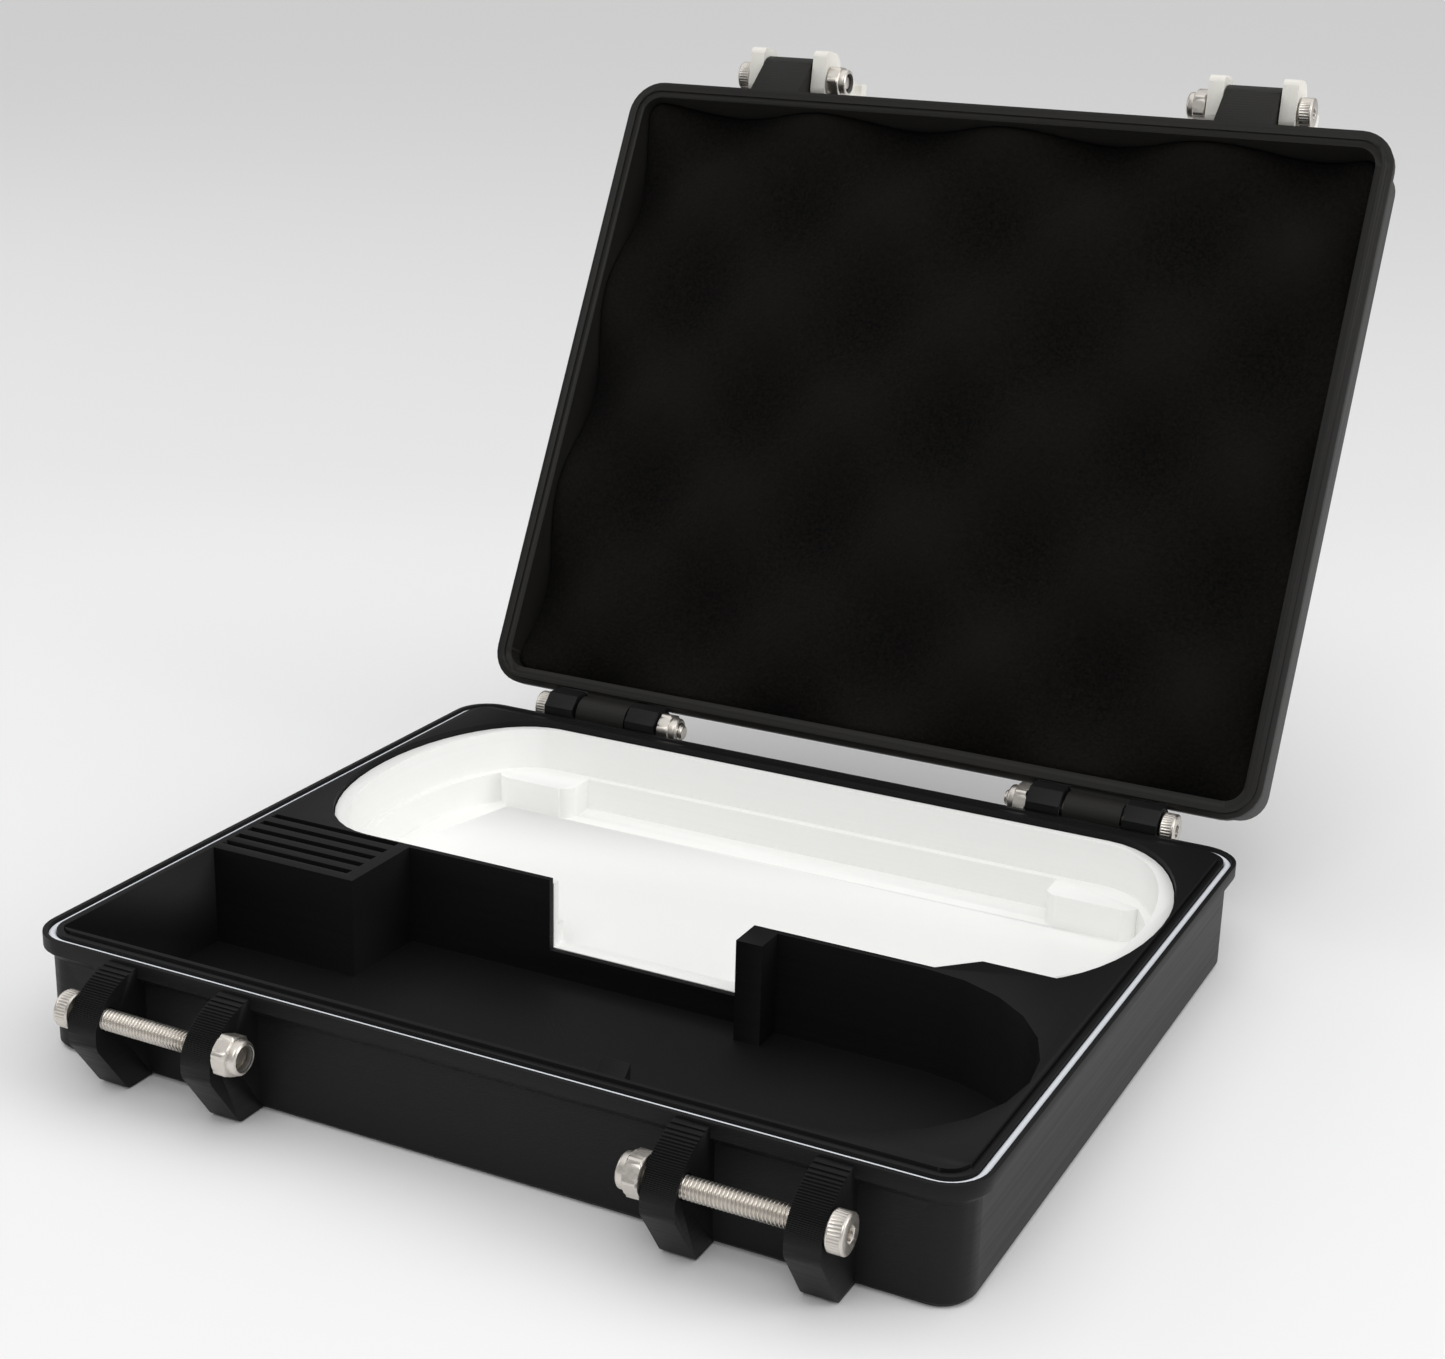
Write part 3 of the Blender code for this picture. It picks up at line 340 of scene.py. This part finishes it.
# the lid's material is the base's black with painted light: lighter, warmer tones
lidBlackPaintedLight = printedPlastic("blackPrintedPetgLidPaintedLight", blackLidPaintedLight, turn=case["lidOpen"])
insertBlack = printedPlastic("blackPrintedInsert", blackInsert)
trayWhite = printedPlastic("whitePrintedPla", whiteTray)
latchWhite = printedPlastic("warmWhitePrintedPla", warmLatch,
                            turn=case["lidOpen"] + case["latchFold"], layersAlongX=True)
rubber, steel, nylon, foamBlack = gasketRubber(), stainlessSteel(), nylonRing(), openCellFoam()


# The printed bodies are the CAD shapes with their edges eased, as the nozzle leaves them: which
# edges count as crisp, in degrees and mm, and each body's easing in mm with its steps.
crispEdge = {"from": 28, "shortest": 1.0, "narrowest": 0.5, "weld": 2e-6, "flatWithin": 0.4}
easing = {"base_shell": (0.22, 2, baseBlack), "lid_shell": (0.22, 2, lidBlackPaintedLight),
          "organiser_insert": (0.18, 2, insertBlack), "console_tray": (0.35, 3, trayWhite),
          "latch_left": (0.7, 4, latchWhite), "latch_right": (0.7, 4, latchWhite)}


def softened(node, edge, segments, material):
    # A copy of the node, welded, its flats made whole, and a bevel on each crisp edge whose
    # neighbouring faces are wide enough to take it.
    mesh = frame["nodes"][node].data.copy()
    work = bmesh.new()
    work.from_mesh(mesh)
    bmesh.ops.remove_doubles(work, verts=work.verts, dist=crispEdge["weld"])
    bmesh.ops.dissolve_limit(work, angle_limit=math.radians(crispEdge["flatWithin"]),
                             verts=work.verts, edges=work.edges)
    floats = work.edges.layers.float
    weight = floats.get("bevel_weight_edge") or floats.new("bevel_weight_edge")
    width = {f: f.calc_area() / max(e.calc_length() for e in f.edges) for f in work.faces}
    crispAngle = math.radians(crispEdge["from"])
    for e in work.edges:
        crisp = len(e.link_faces) == 2 and e.calc_face_angle() > crispAngle
        e.smooth = not crisp
        wide = min(width[f] for f in e.link_faces) > crispEdge["narrowest"] * mm
        if crisp and wide and e.calc_length() > crispEdge["shortest"] * mm:
            e[weight] = 1.0
            e.smooth = True
    for f in work.faces:
        f.smooth = True
    work.to_mesh(mesh)
    work.free()
    mesh.name = node + "Eased"
    piece = addPiece(node + "_eased", mesh, material)
    bevel = piece.modifiers.new("easedEdges", "BEVEL")
    bevel.limit_method = "WEIGHT"
    bevel.width = edge * mm
    bevel.segments = segments
    bevel.use_clamp_overlap = True
    bevel.harden_normals = True
    standFor(piece, node)


for node, (edge, segments, material) in easing.items():
    softened(node, edge, segments, material)
print("printed bodies")


gasketCord = {"width": 1.44, "low": 21.1, "top": 22.52, "dome": 0.45, "domeSteps": 9,
              "cornerSteps": 16}


def rimPath(inset, cornerSteps):
    # Rounded rectangle: each corner is centre + r (cos a, sin a), and its outward normal is
    # (cos a, sin a).
    r = case["cornerRadius"] - inset
    hx, hy = case["width"] / 2 - case["cornerRadius"], case["depth"] / 2 - case["cornerRadius"]
    turns = [math.radians(90) * k + np.linspace(0, math.pi / 2, cornerSteps) for k in range(4)]
    centres = [(hx, hy), (-hx, hy), (-hx, -hy), (hx, -hy)]
    points = np.concatenate([np.stack([cx + r * np.cos(a), cy + r * np.sin(a)], -1)
                             for a, (cx, cy) in zip(turns, centres)])
    a = np.concatenate(turns)
    return points, np.stack([np.cos(a), np.sin(a)], -1)


def makeGasket():
    # A cord profile, square below and domed above, carried round the groove's middle line.
    s = gasketCord
    path, normal = rimPath(case["lipOuter"] + case["groove"] / 2, s["cornerSteps"])
    half, shoulder = s["width"] / 2, s["top"] - s["dome"]
    a = np.linspace(0, math.pi, s["domeSteps"])
    across = np.concatenate([[-half, half], half * np.cos(a)])
    height = np.concatenate([[s["low"], s["low"]], shoulder + s["dome"] * np.sin(a)])
    flat = path[:, None, :] + normal[:, None, :] * across[None, :, None]
    level = np.broadcast_to(height[None, :, None], flat.shape[:2] + (1,))
    points = np.concatenate([flat, level], -1)
    standFor(gridPiece("gasket_cord", points * mm, rubber, closedRows=True), "gasket")


makeGasket()
print("gasket")


eggCrate = {"peakBelowFace": 1.5, "swing": 7.6, "pitchX": 23.75, "pitchY": 25.0,
            "peakX": -19.5, "peakY": 2.1, "gap": 0.3, "step": 1.1, "wander": 0.35,
            "edgeRound": 0.7, "edgeFall": 0.6, "edgeSpan": 2.0, "edgeBand": 2.4, "edgeSteps": 9}


def eggWave(x, y):
    # cos(pi (x - x0)/p) * cos(pi (y - y0)/q): peaks and pits like a chessboard, from -1 to 1
    s = eggCrate
    return (np.cos(math.pi * (x - s["peakX"]) / s["pitchX"])
            * np.cos(math.pi * (y - s["peakY"]) / s["pitchY"]))


def makeFoam():
    # The sheet's outline is a rounded rectangle: each row is as wide as it allows.
    s = eggCrate
    inset = rimInner + s["gap"]
    halfX, halfY = case["width"] / 2 - inset, case["depth"] / 2 - inset
    corner = case["cornerRadius"] - inset
    nx, ny = int(2 * halfX / s["step"]), int(2 * halfY / s["step"])
    u = np.sin(np.linspace(-math.pi / 2, math.pi / 2, s["edgeSteps"]))
    edge = (1 - u[s["edgeSteps"] // 2:]) * s["edgeSpan"]      # finer steps close to the edges
    band = s["edgeBand"]
    y = np.concatenate([-halfY + edge[::-1] - edge[-1],
                        np.linspace(-halfY + band, halfY - band, ny), halfY - edge + edge[-1]])
    over = np.clip(np.abs(y) - (halfY - corner), 0, corner)
    rowHalf = halfX - corner + np.sqrt(np.clip(corner ** 2 - over ** 2, 0, None))
    t = np.concatenate([-1 + edge[::-1] / halfX,
                        np.linspace(-1 + band / halfX, 1 - band / halfX, nx), 1 - edge / halfX])
    x = rowHalf[:, None] * t[None, :]
    yy = np.broadcast_to(y[:, None], x.shape)
    wave = eggWave(x, yy)
    # a slow unevenness of the cut: three sines with waves about 30 to 75 mm long
    wander = s["wander"] * (np.sin(0.083 * x + 0.6) * np.sin(0.11 * yy + 1.9)
                            + 0.5 * np.sin(0.21 * x - 0.17 * yy))
    fromEdge = np.minimum(rowHalf[:, None] - np.abs(x), halfY - np.abs(yy))
    # depth = peak + swing/2 (1 - wave) + unevenness + a rounding exp(-distance/fall) at the edge
    below = s["peakBelowFace"] + s["swing"] / 2 * (1 - wave) + np.abs(wander) \
        + s["edgeRound"] * np.exp(-np.clip(fromEdge, 0, None) / s["edgeFall"])
    front = np.stack([x, yy, lidFace + below], -1)
    backLevel = lidFace + case["lidHeight"] - case["lidTop"] - s["gap"]
    back = np.stack([x, yy, np.full_like(x, backLevel)], -1)[:, ::-1]
    loops = np.concatenate([front, back], 1)
    first, last = loops[:1].copy(), loops[-1:].copy()
    n = x.shape[1]
    for cap in (first, last):           # the end loops fold flat, so that the ends close
        middle = (cap[0, :n, 2] + cap[0, n:, 2][::-1]) / 2
        cap[0, :n, 2] = middle
        cap[0, n:, 2] = middle[::-1]
    points = toRest(np.concatenate([first, loops, last]) * mm)
    foam = gridPiece("egg_crate_foam", points, foamBlack, sharp=60, poles=True)
    # how near each point is to a peak, from 0 in the pits to 1, for the painted light on the peaks
    # and the painted shade in the pits
    places = np.empty(len(foam.data.vertices) * 3)
    foam.data.vertices.foreach_get("co", places)
    closed = toRest(places.reshape(-1, 3), case["lidOpen"]) / mm
    peak = 0.5 + 0.5 * eggWave(closed[:, 0], closed[:, 1])
    foam.data.attributes.new("peak", "FLOAT", "POINT").data.foreach_set("value", peak)
    standFor(foam, "lid_foam")


makeFoam()
print("foam")


capScrew = {"shank": 1.95, "root": 1.55, "pitch": 0.7, "head": 3.5, "headLength": 3.0,
            "socketFlats": 2.5, "socketDepth": 1.6, "socketTurn": 0.3, "knurls": 32,
            "knurlDepth": 0.16, "around": 96, "stepsPerTurn": 10, "runOut": 0.9,
            "lengths": {"hinge": 35.0, "catch": 35.0, "latch": 25.0}}
lockNut = {"flats": 7.0, "length": 4.6, "hexLength": 3.0, "collar": 3.1, "bore": 2.02,
           "seat": 2.7, "seatDepth": 1.3, "around": 96,
           "turns": {"hinge_nut_left": 12, "hinge_nut_right": 40, "catch_nut_left": 8,
                     "catch_nut_right": 27, "latch_nut_left": 20, "latch_nut_right": 49}}
nylonInsert = {"inner": 2.04, "outer": 2.64, "length": 1.0, "inset": 0.2, "squareness": 0.5,
               "around": 64, "section": 16}


def axisOf(node):
    # The pin's middle line (y, z), which side of the case it is on, and its outer and inner ends
    # along X.
    low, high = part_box(node)
    side = 1 if low[0] + high[0] > 0 else -1
    ends = (high[0] / mm, low[0] / mm)[::side]
    return (low[1] + high[1]) / 2 / mm, (low[2] + high[2]) / 2 / mm, side, ends


def circleOf(around):
    # the angles of a closed ring, and a ring of ones to scale
    angle = np.arange(around) * tau / around
    return angle, np.ones_like(angle)


def turned(along, radius, angle, y, z):
    # (x, y + r cos a, z + r sin a)
    x = np.broadcast_to(along[:, None], radius.shape)
    return np.stack([x, y + radius * np.cos(angle), z + radius * np.sin(angle)], -1) * mm


def hexagon(flats, angle):
    # distance to the sides of a hexagon: half the flats over cos of the angle from the nearest flat
    sixth = math.pi / 3
    return flats / 2 / np.cos((angle + sixth / 2) % sixth - sixth / 2)


def makeScrew(node, length):
    # Rows along the screw, each a ring of radii. The thread's height is a flat-topped triangle
    # wave of (x/pitch - angle/turn), and the knurls are a cosine round the head.
    s = capScrew
    y, z, side, ends = axisOf(node)
    angle, ring = circleOf(s["around"])
    key = hexagon(s["socketFlats"], angle + s["socketTurn"])
    knurl = s["head"] - s["knurlDepth"] * (0.5 + 0.5 * np.cos(s["knurls"] * angle))
    h, r, deep = s["headLength"], s["head"], s["socketDepth"]
    headRows = [
        (h - deep - 0.4, 0 * ring), (h - deep, key * 0.99),                 # drilled end and floor
        (h - 0.16, key), (h, key + 0.14),                                   # socket and its mouth
        (h, ring * (r - 0.42)), (h - 0.1, ring * (r - 0.16)), (h - 0.32, ring * (r - 0.03)),
        (h - 0.48, ring * (r - 0.03)), (h - 0.56, knurl), (0.42, knurl),    # plain band and knurls
        (0.34, ring * (r - 0.03)), (0.2, ring * (r - 0.04)), (0.0, ring * (r - 0.25)),
        (0.0, ring * (s["shank"] + 0.2))]                                   # the bearing face
    step = s["pitch"] / s["stepsPerTurn"]
    along = -np.arange(0.3, length - 0.4, step)
    x = ends[0] - side * (h - along)
    phase = (x[:, None] / s["pitch"] - angle[None, :] / tau) % 1.0
    crest = np.clip(1.3 - np.abs(2 * phase - 1) * 1.5, 0, 1)
    fade = np.clip((length - 0.2 + along) / s["runOut"], 0.35, 1)[:, None]  # the tip is chamfered
    thread = s["root"] + (s["shank"] - s["root"]) * crest * fade
    tipRows = [(-(length - 0.1), ring * (s["root"] - 0.05)), (-length, ring * (s["root"] - 0.3)),
               (-length, 0 * ring)]
    heights = np.array([a for a, _ in headRows] + list(along) + [a for a, _ in tipRows])
    radii = np.vstack([[b for _, b in headRows], thread, [b for _, b in tipRows]])
    points = turned(ends[0] - side * (h - heights), radii, angle, y, z)
    standFor(gridPiece(node + "_threaded", points, steel, sharp=40, poles=True), node)


def makeNut(node):
    # A hexagon cut by a cone at both ends, then a round collar rolled in over the nylon ring.
    s = lockNut
    y, z, side, ends = axisOf(node)
    angle, ring = circleOf(s["around"])
    six = hexagon(s["flats"], angle)
    n, h, c = s["length"], s["hexLength"], s["collar"]
    seat, ledge = ring * s["seat"], n - s["seatDepth"]
    rows = [(0.3, ring * s["bore"]), (0.0, ring * (s["bore"] + 0.3)), (0.0, ring * 3.3),
            (0.1, np.minimum(six, 3.56)), (0.3, np.minimum(six, 3.94)),     # outer cone
            (h - 0.42, np.minimum(six, 3.98)), (h - 0.14, np.minimum(six, 3.6)),
            (h, ring * 3.3), (h + 0.06, ring * (c + 0.02)),                 # shoulder
            (n - 0.62, ring * c), (n - 0.36, ring * (c - 0.08)), (n - 0.14, ring * (c - 0.3)),
            (n, ring * (c - 0.62)), (n - 0.06, ring * (c - 0.78)), (n - 0.22, ring * (c - 0.72)),
            (n - 0.26, seat), (ledge, seat), (ledge, ring * s["bore"])]     # the ring's seat
    heights = np.array([a for a, _ in rows])
    radii = np.array([b for _, b in rows])
    turn = math.radians(s["turns"][node])
    points = turned(ends[0] - side * heights, radii, angle + turn, y, z)
    standFor(gridPiece(node + "_formed", points, steel, sharp=32, closedRows=True), node)


def makeRing(node):
    # A ring of rounded section: radius and place along X follow a squared-off circle.
    s = nylonInsert
    y, z, side, ends = axisOf(node)
    angle, ring = circleOf(s["around"])
    a, _ = circleOf(s["section"])
    squared = [np.sign(c) * np.abs(c) ** s["squareness"] for c in (np.cos(a), np.sin(a))]
    radii = (s["inner"] + s["outer"]) / 2 + (s["outer"] - s["inner"]) / 2 * squared[1]
    along = ends[1] + side * (s["inset"] + s["length"] / 2 * (1 + squared[0]))
    points = turned(along, radii[:, None] * ring, angle, y, z)
    standFor(gridPiece(node + "_ring", points, nylon, closedRows=True), node)


for place in ("hinge", "catch", "latch"):
    for sideName in ("left", "right"):
        makeScrew(f"{place}_screw_{sideName}", capScrew["lengths"][place])
        makeNut(f"{place}_nut_{sideName}")
        makeRing(f"{place}_nylon_{sideName}")
print("fasteners")


view = {"azimuth": 25.87, "elevation": 18.55, "roll": 1.70,
        "place": (0.19450, -0.36704, 0.20680), "lens": 58.20, "sensor": 36,
        "shift": (-0.02102, -0.00283), "clipStart": 0.01}


def addCamera():
    azimuth, elevation, roll = (math.radians(view[k]) for k in ("azimuth", "elevation", "roll"))
    back = Vector((math.sin(azimuth) * math.cos(elevation),
                   -math.cos(azimuth) * math.cos(elevation), math.sin(elevation)))
    right = (-back).cross(Vector((0, 0, 1))).normalized()
    up = right.cross(-back)
    turnedRight = right * math.cos(roll) + up * math.sin(roll)
    turnedUp = up * math.cos(roll) - right * math.sin(roll)
    camera = bpy.data.objects.new("camera", bpy.data.cameras.new("camera"))
    camera.data.lens = view["lens"]
    camera.data.sensor_width = view["sensor"]
    camera.data.shift_x, camera.data.shift_y = view["shift"]
    camera.data.clip_start = view["clipStart"]
    matrix = Matrix((turnedRight, turnedUp, back)).transposed().to_4x4()
    camera.matrix_world = Matrix.Translation(view["place"]) @ matrix
    bpy.context.scene.collection.objects.link(camera)
    bpy.context.scene.camera = camera


# grey is painted shade: the tone the floor is given far behind the case
floorLook = {"size": 16.0, "white": "#f6f6f6", "grey": "#efefef", "from": 0.655, "to": 0.86,
             "rough": 0.9, "specular": 0.1}


def addFloor():
    # white paper, going grey past a line behind the case: painted shade for the light falling off
    # towards the back
    mesh = bpy.data.meshes.new("floor")
    half = floorLook["size"] / 2
    corners = [(-half, -half, 0), (half, -half, 0), (half, half, 0), (-half, half, 0)]
    mesh.from_pydata(corners, [], [(0, 1, 2, 3)])
    made, tree, shader = newMaterial("whitePaper")
    coords = addNode(tree, "ShaderNodeTexCoord")
    azimuth = math.radians(view["azimuth"])
    away = addNode(tree, "ShaderNodeVectorMath",
                   {"operation": "DOT_PRODUCT", 1: (-math.sin(azimuth), math.cos(azimuth), 0)},
                   _0=(coords, "Object"))
    start = view["place"][0] * -math.sin(azimuth) + view["place"][1] * math.cos(azimuth)
    share = addNode(tree, "ShaderNodeMapRange",
                    {"interpolation_type": "SMOOTHSTEP", "From Min": start + floorLook["from"],
                     "From Max": start + floorLook["to"]}, Value=(away, "Value"))
    tone = blend(tree, floorLook["white"], floorLook["grey"], _0=(share, 0))
    tree.links.new(tone.outputs[2], shader.inputs["Base Color"])
    shader.inputs["Roughness"].default_value = floorLook["rough"]
    shader.inputs["Specular IOR Level"].default_value = floorLook["specular"]
    floor = bpy.data.objects.new("floor", mesh)
    floor.data.materials.append(made)
    bpy.context.scene.collection.objects.link(floor)


studio = {"sky": 0.34, "sunPower": 1.18, "sunSpread": 95, "sunFrom": (0.1, 0.1, 1.0)}
lamps = [
    {"name": "rightBox", "place": (1.3, 0.25, 0.55), "aim": (0, 0, 0.05), "size": 0.8,
     "power": 6.0},
    {"name": "leftBox", "place": (-1.3, -0.1, 0.6), "aim": (0, 0, 0.05), "size": 0.8,
     "power": 2.0},
    {"name": "frontBox", "place": (0.2, -1.1, 1.3), "aim": (0, 0.1, 0.08), "size": 0.9,
     "power": 6.5},
]


def addLamp(name, kind, place, aim, power):
    lamp = bpy.data.lights.new(name, kind)
    lamp.energy = power
    holder = bpy.data.objects.new(name, lamp)
    back = (Vector(place) - Vector(aim)).normalized()
    facing = back.to_track_quat("Z", "Y").to_matrix().to_4x4()
    holder.matrix_world = Matrix.Translation(place) @ facing
    bpy.context.scene.collection.objects.link(holder)
    return lamp


def addLamps():
    # a wide soft sun stands for the ceiling of a light tent, and three boxes for its lit sides
    sun = addLamp("tentCeiling", "SUN", studio["sunFrom"], (0, 0, 0), studio["sunPower"])
    sun.angle = math.radians(studio["sunSpread"])
    for s in lamps:
        addLamp(s["name"], "AREA", s["place"], s["aim"], s["power"]).size = s["size"]
    world = bpy.data.worlds.new("studio")
    world.use_nodes = True
    background = world.node_tree.nodes["Background"]
    background.inputs["Color"].default_value = (1, 1, 1, 1)
    background.inputs["Strength"].default_value = studio["sky"]
    bpy.context.scene.world = world
    bpy.context.scene.view_settings.view_transform = "Standard"


addCamera()
addFloor()
addLamps()
print("stage")
